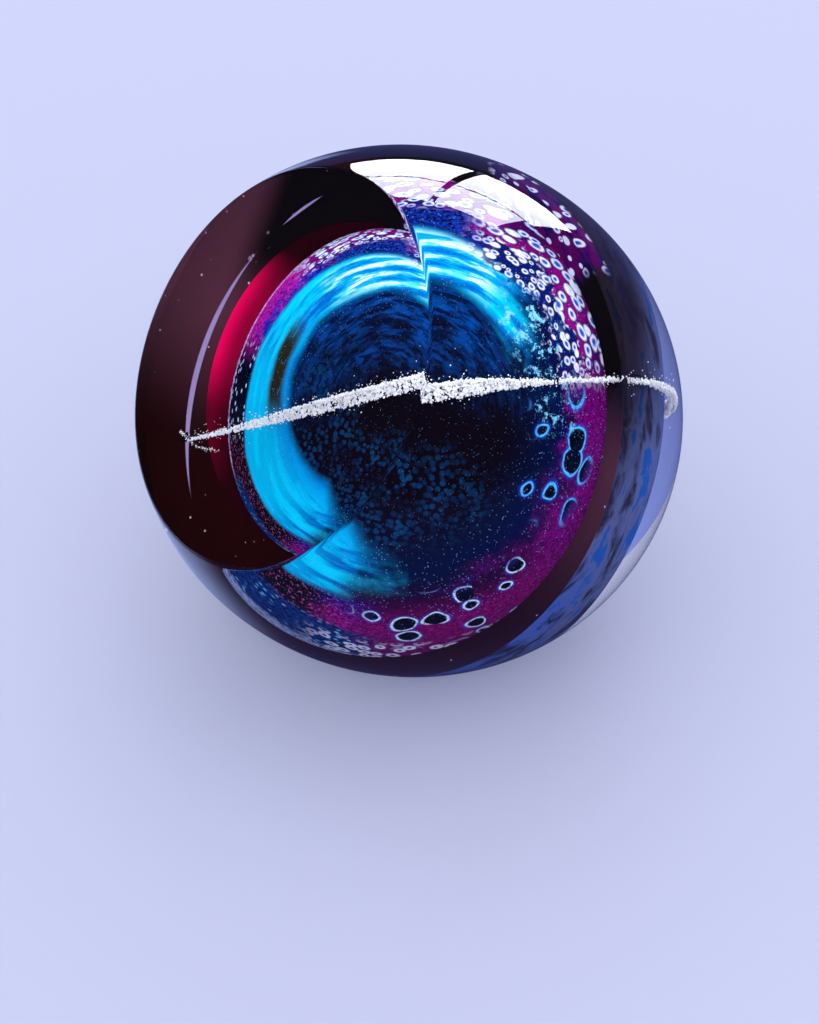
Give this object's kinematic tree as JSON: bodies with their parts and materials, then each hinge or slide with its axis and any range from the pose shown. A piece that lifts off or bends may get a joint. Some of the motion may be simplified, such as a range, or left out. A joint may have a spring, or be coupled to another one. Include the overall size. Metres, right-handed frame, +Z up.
{
  "type": "glass paperweight",
  "caption": "Clear glass ball with one large polished window and a flat foot, cased over a coloured core with a white frit trail, a ruby crescent and a dark ground.",
  "frame": {"origin": "centre of the flat foot, on the surface that the paperweight stands on", "axes": "+Z up; the polished window faces -Y and looks up at 39 degrees above level; +X to the right as seen from the window's side"},
  "size_m": [0.076, 0.0792, 0.0762],
  "materials": {
    "clear_glass": "clear, polished to a mirror gloss",
    "colour_glass": "blue, cyan and magenta glass with rings of small cells",
    "dark_glass": "opaque dark maroon-brown glass, mottled with blue-grey over its back",
    "ruby_glass": "deep ruby red glass",
    "white_frit": "crushed white glass, granular"
  },
  "bodies": {
    "root": {"clear_casing": "clear_glass", "colour_core": "colour_glass", "dark_ground": "dark_glass", "ruby_layer": "ruby_glass", "frit_trail": "white_frit"}
  },
  "joints": []
}
